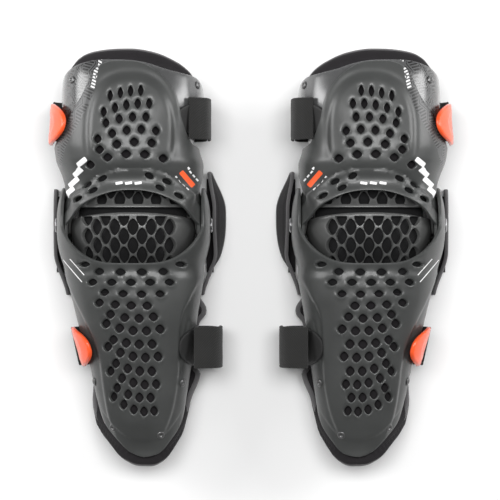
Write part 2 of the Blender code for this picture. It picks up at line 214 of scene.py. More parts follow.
CORNER_ACROSS = KNEE_WIDTH * (1 - (EAR_RADIUS / KNEE_RADIUS) ** SQUARENESS) ** (1 / SQUARENESS)
CORNER_TURN = math.degrees(math.atan2(CORNER_ACROSS / KNEE_WIDTH, EAR_RADIUS / KNEE_RADIUS))


def edge_at_knee(turn, side, arch):
    """A shell's edge at the knee: an arch in front, and a round ear at each side that reaches towards side.

    arch gives the edge's height at a share of the way from the middle to the ear.
    """
    across, out = section(turn)
    if abs(turn) >= CORNER_TURN:
        return side * math.sqrt(max(EAR_RADIUS**2 - (KNEE_RADIUS * out) ** 2, 0) / (1 - out**2))
    return arch(min(abs(across) * KNEE_WIDTH / CORNER_ACROSS, 1))


def thigh_low(turn):
    return edge_at_knee(turn, -1, lambda share: ARC_TOP * (1 - share**2.4))


def shin_high(turn):
    return edge_at_knee(turn, 1, lambda share: ARC_BOTTOM * (1 - share**4) ** 0.75)


THIGH_HIGH = through([
    (-114, 76), (-85, 78), (-68, 83), (-54, 94), (-45, 113), (-36, 131), (-28, 154), (-18, 163), (0, 164),
    (12, 161), (21, 153), (30, 139), (37, 122), (44, 105), (54, 88), (63, 81), (85, 78), (114, 76)
])
PLATE_HIGH = through([
    (-112, 118), (-90, 132), (-75, 147), (-60, 156), (-45, 162), (-25, 165.5), (0, 165), (15, 162),
    (30, 156), (45, 152), (60, 149), (75, 143), (90, 132), (112, 118)
])
PLATE_LOW = through([
    (-112, 70), (-62, 70), (-45, 88), (-30, 122), (-15, 144), (0, 148), (12, 146), (24, 132), (36, 104),
    (48, 78), (62, 70), (112, 70)
])
SHIN_LOW = through([
    (-114, -168), (-95, -182), (-75, -196), (-61, -205), (-46, -215), (-36, -223), (-25, -229), (0, -234),
    (25, -231), (36, -226), (46, -218), (61, -207), (75, -196), (95, -182), (114, -168)
])

# -------- pieces


HAND = {"left": 1, "right": -1}
HINGE = {side: hinge_centre(side) for side in HAND}


def to_frame(side, point):
    """A point in millimetres about the hinge, as a point of the frame."""
    return HINGE[side] + Vector((point[0] * HAND[side], point[1], point[2])) * MM


def linked(name, data):
    """A new object in the scene."""
    obj = bpy.data.objects.new(name, data)
    bpy.context.scene.collection.objects.link(obj)
    return obj


def add(name, mesh, body, material, stands_for=(), bend=None, angle=38):
    """Places a mesh on both guards. bend is (other body, start, end), for a piece that crosses the knee:
    such a piece is left where it is, attached to no body, and its other body, start and end are not used.
    """
    mesh.materials.clear()
    mesh.materials.append(material)
    for side, hand in HAND.items():
        data = mesh.copy()
        place = Matrix.Translation(HINGE[side]) @ Matrix.Diagonal((hand * MM, MM, MM, 1))
        data.transform(place)
        if hand < 0:
            data.flip_normals()
        data.shade_smooth()
        data.set_sharp_from_angle(angle=math.radians(angle))
        obj = linked(f"{side}_{name}_skin", data)
        if bend:
            other, start, end = bend
            to_frame(side, start)
            to_frame(side, end)
            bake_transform(obj)
        else:
            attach(obj, f"{side}_{body}")
        if stands_for:
            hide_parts(*[f"{side}_{node}" for node in stands_for])
    bpy.data.meshes.remove(mesh)


def mesh_of(points, faces, flat=None, edge=None):
    """A mesh from points and faces. flat gives each point's place on the flat sheet, in millimetres."""
    mesh = bpy.data.meshes.new("piece")
    mesh.from_pydata(points, [], faces)
    if flat:
        layer = mesh.uv_layers.new(name="flat")
        for loop in mesh.loops:
            layer.data[loop.index].uv = flat[loop.vertex_index]
    if edge:
        mesh.attributes.new("edge", "FLOAT", "POINT").data.foreach_set("value", edge)
    mesh.update()
    return mesh


# -------- cut sheets


def pairs(loop):
    """Each item of a closed loop with the next one."""
    return zip(loop, loop[1:] + loop[:1])


def inside(point, loop):
    """Whether the point lies inside the closed loop."""
    found = False
    x, y = point
    for (x0, y0), (x1, y1) in pairs(loop):
        if (y0 > y) != (y1 > y) and x < (x1 - x0) * (y - y0) / (y1 - y0) + x0:
            found = not found
    return found


def evenly(loop, spacing):
    """The loop again, with a point about every spacing."""
    made = []
    for (x0, y0), (x1, y1) in pairs(loop):
        steps = max(1, round(math.hypot(x1 - x0, y1 - y0) / spacing))
        made += [(x0 + (x1 - x0) * k / steps, y0 + (y1 - y0) * k / steps) for k in range(steps)]
    return made


def rounded(loop, radius):
    """The loop with its sharp corners rounded off."""
    made = []
    count = len(loop)
    for i in range(count):
        before, here, after = (Vector(loop[(i + k) % count]) for k in (-1, 0, 1))
        into, out = here - before, after - here
        if into.length < 1e-6 or out.length < 1e-6 or into.angle(out) < math.radians(22):
            made.append(tuple(here))
            continue
        first = here - into.normalized() * min(radius, into.length * 0.48)
        last = here + out.normalized() * min(radius, out.length * 0.48)
        for k in range(5):
            f = k / 4
            made.append(tuple((1 - f) ** 2 * first + 2 * f * (1 - f) * here + f * f * last))
    return made


def offset(loop, distance):
    """The loop moved sideways, to the left of its direction."""
    made = []
    count = len(loop)
    for i in range(count):
        before, after = Vector(loop[i - 1]), Vector(loop[(i + 1) % count])
        direction = (after - before).normalized()
        made.append((loop[i][0] - direction.y * distance, loop[i][1] + direction.x * distance))
    return made


ROW_PITCH = 0.866  # from row to row of points, for a spacing of one in the rows


def triangles(outline, holes, spacing, edge_rings):
    """(points, faces, nearest): triangles that fill the outline but not its holes.

    nearest gives each point's distance to the closest edge, and that edge's hole, or -1 for the outline.
    """
    loops = [outline] + holes
    tree = kdtree.KDTree(sum(len(loop) for loop in loops))
    points, fences, owner = [], [], []
    for number, loop in enumerate(loops):
        fences.append(list(range(len(points), len(points) + len(loop))))
        points += loop
        for point in loop:
            tree.insert((point[0], point[1], 0), len(owner))
            owner.append(number - 1)
    tree.balance()
    for number, loop in enumerate(loops):
        for distance in edge_rings:
            for point in offset(loop, distance if number == 0 else -distance):
                if tree.find((point[0], point[1], 0))[2] > distance * 0.8:
                    points.append(point)
    low_x, high_x = min(p[0] for p in outline), max(p[0] for p in outline)
    low_y, high_y = min(p[1] for p in outline), max(p[1] for p in outline)
    clear = (edge_rings[-1] if edge_rings else 0) + spacing * 0.45
    rows = int((high_y - low_y) / (spacing * ROW_PITCH))
    for row in range(rows + 1):
        y = low_y + row * spacing * ROW_PITCH
        columns = int((high_x - low_x) / spacing) + 1
        for column in range(columns + 1):
            x = low_x + (column + 0.5 * (row % 2)) * spacing
            if tree.find((x, y, 0))[2] > clear and inside((x, y), outline):
                points.append((x, y))
    made = geometry.delaunay_2d_cdt([Vector(p) for p in points], [], fences, 1, 1e-5)
    faces = [face for face, origin in zip(made[2], made[5]) if max(origin, default=0) == 0]
    used = sorted({v for face in faces for v in face})
    renumber = {v: i for i, v in enumerate(used)}
    flat = [tuple(made[0][v]) for v in used]
    faces = [[renumber[v] for v in face] for face in faces]
    nearest = []
    for x, y in flat:
        _, index, distance = tree.find((x, y, 0))
        nearest.append((distance, owner[index]))
    return flat, faces, nearest


def cut_sheet(outline, holes, level, thickness, spacing=2.6, rounding=1.1, lip=0.0, hole_rounding=None,
              under=0.0, place=mould):
    """A closed sheet on the mould, cut to an outline and holes given as loops of (turn * RATE, along).

    level(turn, along) is its outer face. Its edges are rounded, and under is the share of that rounding
    which its inner face gets too. lip raises each hole's lower side.
    """
    hole_rounding = hole_rounding or rounding
    shares = (0.08, 0.3, 0.62, 1.0) if rounding > 2 else (0.35, 1.0)
    rings = [rounding * share for share in shares] if rounding > 0.3 else []
    flat, faces, nearest = triangles(outline, holes, spacing, rings)
    centres = [Vector((sum(p[0] for p in hole), sum(p[1] for p in hole))) / len(hole) for hole in holes]
    reach = [max(abs(p[1] - centre.y) for p in hole) for hole, centre in zip(holes, centres)]
    outer, inner, edge = [], [], []
    for (x, along), (distance, hole) in zip(flat, nearest):
        turn = x / RATE
        base = level(turn, along)
        radius = rounding if hole < 0 else hole_rounding
        drop = radius - math.sqrt(max(radius**2 - max(radius - distance, 0) ** 2, 0))
        lift = 0.0
        if hole >= 0 and lip:
            side = (centres[hole].y - along) / reach[hole]
            lift = lip * max(min(side, 1), -0.8) * (1 - smooth(0, 3.4, distance))
        outer.append(place(turn, along, base - drop + lift))
        inner.append(place(turn, along, base - thickness + under * drop))
        edge.append(1 - smooth(0, 2.2, distance))
    count = len(flat)
    sides = dict.fromkeys(side for face in faces for side in pairs(face))
    solid = [list(face) for face in faces] + [[v + count for v in reversed(face)] for face in faces]
    solid += [[j, i, i + count, j + count] for i, j in sides if (j, i) not in sides]
    return mesh_of(outer + inner, solid, flat + flat, edge + edge)


def flat_at(level):
    """A sheet's level that is the same at every turn and place along."""
    return lambda turn, along: level


def outline_between(low, high, reach, corner=4.0):
    """The loop between two edges given as functions of turn, out to reach degrees each side."""
    count = round(2 * reach)
    turns = [-reach + 2 * reach * k / count for k in range(count + 1)]
    loop = [(turn * RATE, low(turn)) for turn in turns]
    loop += [(turn * RATE, high(turn)) for turn in reversed(turns)]
    return evenly(rounded(loop, corner), 1.5)


def hole_at(across, along, shape, level=0.0):
    """A hole seen from the front as this shape about this place, as a loop on the flat sheet."""
    return [(turn_at(across + x, along + y, level) * RATE, along + y) for x, y in shape]


def diamond(width, height, lean=0.0, fullness=1.45, count=16):
    """A rounded diamond, from a superellipse, leaning sideways by lean for its height."""
    loop = [superellipse(math.tau * k / count, width / 2, height / 2, fullness) for k in range(count)]
    return [(x + lean * y, y) for x, y in loop]


# -------- materials


class Shader:
    """A Principled BSDF and short ways to wire nodes into it."""

    def __init__(self, name, colour, roughness, **sockets):
        self.material = bpy.data.materials.new(name)
        self.material.use_nodes = True
        self.tree = self.material.node_tree
        self.bsdf = self.tree.nodes["Principled BSDF"]
        self.set(self.bsdf, "Base Color", (*colour, 1))
        self.set(self.bsdf, "Roughness", roughness)
        for socket, value in sockets.items():
            self.set(self.bsdf, socket.replace("_", " "), value)
        self.height = None

    def set(self, node, socket, value):
        """Sets an input socket to a number, a colour or another node's output."""
        if isinstance(value, bpy.types.NodeSocket):
            self.tree.links.new(value, node.inputs[socket])
        else:
            node.inputs[socket].default_value = value

    def node(self, kind, sockets=(), **settings):
        made = self.tree.nodes.new(kind)
        for key, value in settings.items():
            setattr(made, key, value)
        for socket, value in dict(sockets).items():
            self.set(made, socket, value)
        return made

    def math(self, operation, a, b=0.0, c=0.0):
        return self.node("ShaderNodeMath", {0: a, 1: b, 2: c}, operation=operation).outputs[0]

    def times(self, a, b):
        return self.math("MULTIPLY", a, b)

    def noise(self, scale, detail=2.0, vector=None, stretch=None):
        """Noise over the object, with scale in cycles a metre."""
        vector = vector or self.node("ShaderNodeTexCoord").outputs["Object"]
        if stretch:
            vector = self.node("ShaderNodeMapping", {"Vector": vector, "Scale": stretch}).outputs[0]
        sockets = {"Vector": vector, "Scale": scale, "Detail": detail}
        return self.node("ShaderNodeTexNoise", sockets).outputs["Fac"]

    def between(self, factor, low, high, low_at=0.0, high_at=1.0):
        """Goes from low to high as factor goes from low_at to high_at."""
        sockets = {"Value": factor, "From Min": low_at, "From Max": high_at, "To Min": low, "To Max": high}
        return self.node("ShaderNodeMapRange", sockets).outputs[0]

    def mix(self, factor, first, second):
        made = self.node("ShaderNodeMix", data_type="RGBA")
        self.set(made, 0, factor)
        for socket, colour in ((6, first), (7, second)):
            self.set(made, socket, colour if isinstance(colour, bpy.types.NodeSocket) else (*colour, 1))
        return made.outputs[2]

    def flat(self):
        """The place on the flat sheet, in millimetres, as (across, along)."""
        place = self.node("ShaderNodeUVMap", uv_map="flat").outputs[0]
        split = self.node("ShaderNodeSeparateXYZ", {0: place})
        return split.outputs[0], split.outputs[1]

    def edge(self):
        return self.node("ShaderNodeAttribute", attribute_name="edge").outputs["Fac"]

    def bump(self, height, distance, strength=1.0):
        sockets = {"Height": height, "Distance": distance, "Strength": strength}
        if self.height:
            sockets["Normal"] = self.height
        self.height = self.node("ShaderNodeBump", sockets).outputs[0]
        self.set(self.bsdf, "Normal", self.height)


def moulded_plastic(name, colour, roughness, coat=0.0):
    """Fine-grained moulded plastic: a satin grain, faint flow marks and edges rubbed a little paler."""
    made = Shader(name, colour, roughness, Coat_Weight=coat, Coat_Roughness=0.25)
    grain = made.noise(1500.0, 3.0)
    cloud = made.noise(26.0, 4.0)
    scuff = made.noise(900.0, 2.0, stretch=(1.0, 0.06, 1.0))
    pale = tuple(min(c * 1.5 + 0.01, 1) for c in colour)
    dark = tuple(c * 0.84 for c in colour)
    body = made.mix(made.between(cloud, 0, 1, 0.35, 0.68), dark, tuple(c * 1.1 for c in colour))
    rubbed = made.times(made.edge(), made.between(scuff, 0.25, 0.8, 0.4, 0.65))
    made.set(made.bsdf, "Base Color", made.mix(rubbed, body, pale))
    made.set(made.bsdf, "Roughness", made.between(grain, roughness - 0.05, roughness + 0.09, 0.3, 0.7))
    made.bump(grain, 0.00009, 0.55)
    made.bump(cloud, 0.0006, 0.12)
    return made


SHELL_GREY = (0.043, 0.045, 0.044)
PRINT_BLACK = (0.006, 0.006, 0.006)
PRINT_GREY = (0.075, 0.076, 0.077)
PRINT_PALE = (0.75, 0.75, 0.75)

PRINT_LANE = 9.5  # degrees across a lane of strokes
PRINT_PITCH = 3.4  # millimetres from stroke to stroke
PRINT_LOW = 58.0  # where the print ends, along the leg
PRINT_TOP = 163.0  # where its front border comes nearest the crown
PRINT_TURN = 24.0  # how many degrees from the crown that is
PRINT_BEND = 0.0034  # how fast the border falls back below that
PRINT_BRIGHT = 136.0  # the border's own line is pale from here up
PRINT_LINE = 3.2  # and this many degrees wide


def printed_plastic(name, colour, roughness, coat):
    """Moulded plastic with a dark tread pattern printed on its outer side."""
    made = moulded_plastic(name, colour, roughness, coat)
    across, along = made.flat()
    turn = made.times(across, 1 / RATE)
    below = made.math("SUBTRACT", PRINT_TOP, along)
    border = made.math("MULTIPLY_ADD", made.times(below, below), PRINT_BEND, PRINT_TURN)
    depth = made.times(made.math("ADD", turn, border), -1.0)
    run = made.math("ADD", along, made.times(across, 0.45))
    zigzag = made.math("PINGPONG", run, 11.0)
    lane = made.times(made.math("ADD", depth, made.times(zigzag, 0.42)), 1 / PRINT_LANE)
    lane_place = made.math("FRACT", lane)
    sway = made.times(made.math("SINE", made.times(made.math("FLOOR", lane), 2.4)), 1.6)
    slant = made.times(lane_place, sway)
    stroke = made.math("FRACT", made.math("ADD", made.times(run, 1 / PRINT_PITCH), slant))
    in_lane = made.math("COMPARE", lane_place, 0.54, 0.34)
    in_stroke = made.math("LESS_THAN", stroke, 0.54)
    seam = made.math("LESS_THAN", lane_place, 0.075)
    strokes = made.math("MAXIMUM", made.times(in_lane, in_stroke), seam)
    above = made.math("GREATER_THAN", along, PRINT_LOW)
    printed = made.times(made.math("GREATER_THAN", depth, 0.0), above)
    patches = made.between(made.noise(60.0, 1.0), 0, 1, 0.34, 0.38)
    strokes = made.times(made.times(strokes, printed), made.math("MAXIMUM", patches, seam))
    near_top = made.math("GREATER_THAN", along, PRINT_BRIGHT)
    first_line = made.math("LESS_THAN", depth, PRINT_LINE)
    bright = made.times(made.times(near_top, first_line), strokes)
    plain = made.bsdf.inputs["Base Color"].links[0].from_socket
    field = made.mix(printed, plain, PRINT_GREY)
    inked = made.mix(made.times(strokes, 0.96), field, PRINT_BLACK)
    made.set(made.bsdf, "Base Color", made.mix(bright, inked, PRINT_PALE))
    return made.material


def smooth_plastic(name, colour, roughness, **sockets):
    """Smooth coloured plastic with a faint orange-peel surface."""
    made = Shader(name, colour, roughness, **sockets)
    peel = made.noise(420.0, 2.0)
    cloud = made.noise(70.0, 3.0)
    dull = tuple(c * 0.9 for c in colour)
    pale = tuple(min(c * 1.06, 1) for c in colour)
    made.set(made.bsdf, "Base Color", made.mix(made.between(cloud, 0, 1, 0.35, 0.65), dull, pale))
    made.set(made.bsdf, "Roughness", made.between(peel, roughness - 0.04, roughness + 0.07, 0.35, 0.65))
    made.bump(peel, 0.00012, 0.3)
    return made.material


def cloth(name, colour, pitch, sheen=0.1):
    """A knitted or woven face: loops at the given pitch in metres, fuzz between them and uneven dye."""
    made = Shader(name, colour, 0.9, Sheen_Weight=sheen, Sheen_Roughness=0.6, Specular_IOR_Level=0.25)
    place = made.node("ShaderNodeTexCoord").outputs["Object"]
    waves = []
    for turned in (0.7, -0.7):
        aslant = made.node("ShaderNodeMapping", {"Vector": place, "Rotation": (0.35, 0.2, turned)})
        sockets = {"Vector": aslant.outputs[0], "Scale": 0.314 / pitch, "Distortion": 0.6, "Detail": 1.0}
        waves.append(made.node("ShaderNodeTexWave", sockets).outputs["Fac"])
    knit = made.times(waves[0], waves[1])
    fuzz = made.noise(2600.0, 2.0)
    dye = made.noise(45.0, 3.0)
    pale = tuple(c * 1.75 + 0.004 for c in colour)
    face = made.mix(made.between(knit, 0, 0.7, 0.1, 0.8), colour, pale)
    dull = tuple(c * 0.8 for c in colour)
    made.set(made.bsdf, "Base Color", made.mix(made.between(dye, 0.0, 0.45, 0.35, 0.7), face, dull))
    made.bump(knit, 0.00035, 0.7)
    made.bump(fuzz, 0.0002, 0.4)
    return made.material


SHELL_PLASTIC = printed_plastic("shell_plastic", SHELL_GREY, 0.42, 0.3)
PLATE_PLASTIC = printed_plastic("plate_plastic", (0.075, 0.076, 0.077), 0.2, 1.0)
SHIN_PLASTIC = moulded_plastic("shin_plastic", SHELL_GREY, 0.42, 0.3).material
CORE_PLASTIC = moulded_plastic("core_plastic", (0.058, 0.059, 0.058), 0.42, 0.3).material

# -------- the hard shells


FRONT_TURN = 88  # a shell's face has its raised shapes within this turn


def vents(rows, fullness):
    """Rows of vents, each bending along a parabola about its lowest or highest point, called middle."""
    holes = []
    for count, first, pitch, along, middle, curve, width, height in rows:
        shape = diamond(width, height, 0.0, fullness)
        for across in (first + pitch * k for k in range(count)):
            holes.append(hole_at(across, along + curve * (across - middle) ** 2, shape))
    return holes


FACE_MIDDLE = (-1, 92)  # of the thigh dome's raised inner face, as seen from the front
FACE_HALF = (38, 55)
BAND_TOP = 55.7
BAND_MIDDLE = 3
BAND_DROP = 25  # how far the band over the knee ends lower, 60 millimetres from its middle


def face_share(across, along):
    """1 on the edge of the thigh dome's raised inner face, less inside it: a superellipse."""
    x, y = (across - FACE_MIDDLE[0]) / FACE_HALF[0], (along - FACE_MIDDLE[1]) / FACE_HALF[1]
    return (abs(x) ** 2.4 + abs(y) ** 2.4) ** (1 / 2.4)


def band_edge(across):
    """Where the rolled band over the knee ends, as seen from the front."""
    return BAND_TOP - BAND_DROP * (abs(across - BAND_MIDDLE) / 60) ** 2.3


def thigh_plain_level(turn, along):
    """How far out the thigh shell's face lies, as in the frame: ears below the shin's, dome above."""
    forward = KNEE_RADIUS * section(turn)[1]
    reach = math.hypot(along, forward)
    angle = math.degrees(math.atan2(along, forward))
    clear = smooth(14, 48, angle) * (1 - smooth(98, 112, angle))
    level = THIGH_EAR_LEVEL * (1 - smooth(47 - 7 * clear, 70 - 20 * clear, reach))
    return level + DOME_LEVEL * smooth(48, 66, along)


def thigh_level(turn, along):
    """The thigh shell's face with its raised inner face and the rolled band over the knee."""
    level = thigh_plain_level(turn, along)
    if abs(turn) > FRONT_TURN:
        return level
    across = mould(turn, along, 0).x
    share = face_share(across, along)
    level += 1.5 * (1 - smooth(0.93, 1.07, share)) * smooth(60, 78, along)
    level -= 0.7 * hump(share, 1.1, 0.05) * smooth(60, 78, along)
    above = along - band_edge(across)
    rolled = 1.5 * (1 - smooth(-2.2, 1.0, above)) - 0.9 * hump(above, 1.6, 1.6)
    return level + rolled * (1 - smooth(66, 84, abs(turn)))


def thigh_shell():
    rows = [(4, -19.7, 9.5, 133.5, 9.5, -0.006, 5.3, 11.0),
            (5, -25.8, 10.6, 120.6, 12, -0.006, 6.2, 10.2),
            (4, -23.7, 12.4, 107.2, 8, -0.006, 7.0, 9.3),
            (5, -31.4, 13.5, 94.6, 8, -0.006, 7.7, 8.9),
            (4, -29.6, 16.1, 82.2, 6, -0.006, 8.6, 8.7),
            (5, -39.6, 17.4, 70.5, 2.5, -0.006, 9.4, 8.5)]
    band = [(-28.6, 46.1, 0.6), (-44.1, 39.9, 0.75), (-38.1, 34.2, 0.75), (-53.7, 25.6, 0.9),
            (17.9, 48.7, -0.5), (35.5, 43.0, -0.7), (28.7, 36.7, -0.7), (47.4, 28.9, -0.85)]
    holes = vents(rows, 1.45)
    holes += [hole_at(across, along, diamond(8.6, 6.4, lean, 1.8)) for across, along, lean in band]
    outline = outline_between(thigh_low, THIGH_HIGH, SHELL_TURN)
    mesh = cut_sheet(outline, holes, thigh_level, SHELL, lip=0.5, hole_rounding=1.5)
    add("thigh_shell", mesh, "thigh", SHELL_PLASTIC, ["thigh_shell"])


def thigh_plate():
    outline = outline_between(PLATE_LOW, PLATE_HIGH, 112)
    mesh = cut_sheet(outline, [], flat_at(PLATE_LEVEL), 2.0, spacing=3.0, rounding=0.7)
    add("thigh_plate", mesh, "thigh", PLATE_PLASTIC, ["thigh_plate"])


RIDGE_RIGHT = through([
    (-234, 24), (-184, 38), (-157, 42.5), (-128, 44), (-90, 47.5), (-70, 57), (-40, 72)
])
RIDGE_LEFT = through([
    (-234, -14), (-184, -24), (-160, -27.5), (-133, -31), (-103, -41.5), (-70, -58), (-40, -72)
])
SLOT_LINE = through([(-147, 48.5), (-121, 50.5), (-94, 56)])
SLOT_LOW, SLOT_HIGH = -147, -93
TOE = 17.0  # from the crease to the shin shell's lower edge


def ridge(across, along):
    """How far outside the shin's raised centre panel this place is, as seen from the front."""
    return max(across - RIDGE_RIGHT(along), RIDGE_LEFT(along) - across)


def shin_level(turn, along):
    """The shin shell's face: a raised centre panel, a slot line on its inner side, and the hinge discs."""
    if abs(turn) > FRONT_TURN:
        reach = math.hypot(along, KNEE_RADIUS * section(turn)[1])
        return -0.9 * hump(reach, 27, 1.1)
    across = mould(turn, along, 0).x
    panel = 1 - smooth(-0.5, 4.2, ridge(across, along))
    level = 2.4 * panel * smooth(-44, -78, along) * smooth(-222, -196, along)
    slot = 1 - smooth(0.5, 1.5, abs(across - SLOT_LINE(along)))
    level -= 0.9 * slot * smooth(SLOT_LOW, SLOT_LOW + 4, along) * smooth(SLOT_HIGH, SLOT_HIGH - 4, along)
    crease = along - SHIN_LOW(turn) - TOE
    return level - 0.9 * smooth(1.4, -1.4, crease) * smooth(70, 50, abs(turn))


def shin_shell():
    rows = [(2, -47.7, 97.5, -39.4, 1, 0, 11.4, 5.2),
            (4, -32.9, 21.8, -47.0, 0, 0.0004, 10.6, 6.9),
            (5, -39.3, 19.4, -57.2, 0, 0, 10.3, 6.9),
            (4, -26.5, 18.3, -69.0, 12, 0.0012, 9.4, 7.1),
            (4, -31.6, 15.7, -80.5, 12, 0.0015, 9.6, 8.2),
            (4, -20.7, 14.1, -93.2, 5, 0.006, 9.4, 8.8),
            (5, -24.9, 13.2, -105.8, 10, 0.006, 9.4, 9.2),
            (4, -18.0, 12.7, -119.2, 12, 0.005, 9.4, 9.5),
            (5, -23.4, 12.3, -132.5, 14, 0.0078, 9.0, 9.7),
            (4, -15.8, 11.8, -146.5, 14, 0.009, 8.8, 9.9),
            (5, -21.0, 11.2, -160.0, 16, 0.010, 8.4, 9.9),
            (4, -14.8, 11.0, -173.3, 13, 0.013, 8.4, 9.9),
            (5, -18.1, 9.9, -187.2, 14, 0.0145, 7.9, 9.9)]
    outline = outline_between(SHIN_LOW, shin_high, SHELL_TURN)
    mesh = cut_sheet(outline, vents(rows, 1.55), shin_level, SHELL, lip=0.9, hole_rounding=1.6)
    add("shin_shell", mesh, "shin", SHIN_PLASTIC, ["shin_shell"])


# -------- honeycomb guards

CELL_ACROSS = 9.25  # from one column of cells to the next
CELL_ALONG = 18.5  # from one cell to the next in a column
CELL_WIDTH = 11.5
CELL_HEIGHT = 16.6
GUARD_TURN = 99
ARM = 9.0  # half the width of a guard's arms


def honeycomb(origin, low, high, reach, level):
    """Staggered oval cells about an origin, as loops on the flat sheet, cut off square at low and high."""
    cell = diamond(CELL_WIDTH, CELL_HEIGHT, fullness=1.62, count=24)
    holes = []
    for column in range(-8, 8):
        across = origin[0] + CELL_ACROSS * column
        for step in range(-4, 4):
            along = origin[1] + CELL_ALONG * (step + 0.5 * (column % 2))
            if abs(across) > reach or not low - 3 < along < high + 4:
                continue
            shape = [(x, min(max(along + y, low), high) - along) for x, y in cell]
            tidy = [p for p, q in pairs(shape) if math.dist(p, q) > 0.05]
            holes.append(hole_at(across, along, tidy, level))
    return holes


def to_arm(edge, end):
    """A guard's edge, as a function of turn, that goes over to the edge of an arm at each side."""
    return lambda turn: edge(turn) + (end - edge(turn)) * smooth(0.62, 0.2, section(turn)[1])


def inner_guard(name, body, low, high, holes, level, thickness, rounding):
    outline = outline_between(low, high, GUARD_TURN)
    mesh = cut_sheet(outline, holes, level, thickness, 2.4, rounding, hole_rounding=0.6)
    add(name, mesh, body, CORE_PLASTIC, [name])


def knee_cup():
    low = to_arm(lambda turn: -52, -ARM)
    high = to_arm(lambda turn: 12.5 - 3.5 * (turn / 45) ** 2, ARM)

    def level(turn, along):
        rim = 0.9 * hump(along - high(turn), -2.0, 2.4)
        return CUP_LEVEL + rim * (1 - smooth(50, 70, abs(turn)))

    holes = honeycomb((20, -2), -48, 8.6, 46, CUP_LEVEL)
    inner_guard("knee_cup", "cup", low, high, holes, level, 3.6, 0.8)


def upper_guard():
    low = to_arm(lambda turn: 17.5, -ARM)
    high = to_arm(lambda turn: 45, ARM)

    def level(turn, along):
        rim = 0.9 * (1 - smooth(2.4, 4.4, along - low(turn)))
        return UPPER_GUARD_LEVEL + rim * (1 - smooth(50, 70, abs(turn)))

    holes = honeycomb((6.6, 25.0), 20.8, 43, 48, UPPER_GUARD_LEVEL)
    inner_guard("upper_guard", "upper_guard", low, high, holes, level, 2.4, 0.7)


for make in (thigh_shell, thigh_plate, shin_shell, knee_cup, upper_guard):
    make()

# -------- tubes, ribbons and turned pieces


def faces_round(count, around, closed):
    """Faces between rows of points, each row going round. A closed one joins its last row to its first."""
    faces = []
    for row in range(count if closed else count - 1):
        here, there = row * around, (row + 1) % count * around
        for i in range(around):
            j = (i + 1) % around
            faces.append([here + i, here + j, there + j, there + i])
    if not closed:
        faces += [list(range(around))[::-1], list(range((count - 1) * around, count * around))]
    return faces


def sweep(route, section_points, closed_route=False):
    """A closed solid: a section of (sideways, out) offsets carried along a route.

    Each item of the route is (point, sideways, out). A closed route joins its last item to its first.
    """
    points, flat = [], []
    far = 0.0
    for k, (middle, sideways, out) in enumerate(route):
        far += (middle - route[k - 1][0]).length if k else 0.0
        points += [middle + sideways * x + out * y for x, y in section_points]
        flat += [(x, far) for x, _ in section_points]
    return closed_mesh(points, faces_round(len(route), len(section_points), closed_route), flat)


def closed_mesh(points, faces, flat=None):
    """A closed mesh whose faces all point out."""
    mesh = mesh_of(points, faces, flat)
    built = bmesh.new()
    built.from_mesh(mesh)
    bmesh.ops.recalc_face_normals(built, faces=built.faces)
    built.to_mesh(mesh)
    built.free()
    return mesh


def framed(points, out_hint, closed=False):
    """The route through points, each with its sideways and out directions. out_hint(k) is about outward."""
    route = []
    last = len(points) - 1
    for k, here in enumerate(points):
        before = points[k - 1] if k or closed else here
        after = points[(k + 1) % len(points)] if k < last or closed else here
        forward = (after - before).normalized()
        sideways = forward.cross(out_hint(k)).normalized()
        route.append((here, sideways, sideways.cross(forward).normalized()))
    return route


def oval(width, height, count):
    """The section of a thread, a binding or a strip of foam."""
    return [superellipse(math.tau * (k + 0.5) / count, width / 2, height / 2, 2.4) for k in range(count)]


def turned(profile, place, axis, steps=28, ring=False):
    """A solid of revolution from (radius, height) points, at a place along an axis.

    A ring's profile is closed, and any other one starts and ends next to the axis.
    """
    spin = axis.to_track_quat("Z", "Y").to_matrix()
    around = [(math.cos(math.tau * k / steps), math.sin(math.tau * k / steps)) for k in range(steps)]
    points = []
    for radius, height in profile:
        points += [place + spin @ Vector((radius * c, radius * s, height)) for c, s in around]
    return closed_mesh(points, faces_round(len(profile), steps, ring))


def joined(meshes):
    """One mesh from several, which are used up."""
    built = bmesh.new()
    for mesh in meshes:
        built.from_mesh(mesh)
        bpy.data.meshes.remove(mesh)
    whole = bpy.data.meshes.new("piece")
    built.to_mesh(whole)
    built.free()
    return whole


# -------- foam liners and their bindings

FOAM = 9.0
LINER_TURN = 123.5
LINER_FOLD = 117.0
LINER_SEAM = 9.0  # from a liner's edge to its sewn line
PAD_LEVEL = -19.2
PAD_LOW, PAD_HIGH = -40, 38
PAD_TURN = 66
DIMPLE_RATE = 0.9  # radians of a dimple for a millimetre
FLARE_START = through([(-234, 38), (-215, 60), (-205, 75), (-196, 89), (-182, 107), (-170, LINER_FOLD)])
THIGH_LINER_HIGH = through([
    (-122, 122), (-100, 142), (-75, 158), (-50, 170), (-25, 175), (0, 176), (25, 172), (45, 164),
    (60, 156), (75, 148), (100, 138), (122, 122)
])
THIGH_LINER_LOW = through([(-122, 66), (-70, 62), (-35, 50), (0, 46), (35, 50), (70, 62), (122, 66)])
SHIN_LINER_LOW = through([
    (-122, -206), (-100, -214), (-75, -224), (-50, -235), (-25, -241), (0, -242.5), (25, -242),
    (50, -236), (75, -226), (100, -217), (122, -210)
])
SHIN_LINER_HIGH = through([(-122, -56), (-70, -58), (0, -61), (70, -58), (122, -56)])
FLARE_OUTER = through([
    (-240, 13), (-212, 17), (-185, 18), (-160, 13), (-145, 6), (-103, 5), (-97, 6), (-85, 15), (-70, 14),
    (-56, 5)
])
FLARE_INNER = through([
    (-240, 6), (-212, 10), (-178, 16), (-152, 23), (-145, 17), (-103, 15.5), (-97, 16.5), (-89, 22),
    (-84, 21), (-74, 13), (-56, 5)
])

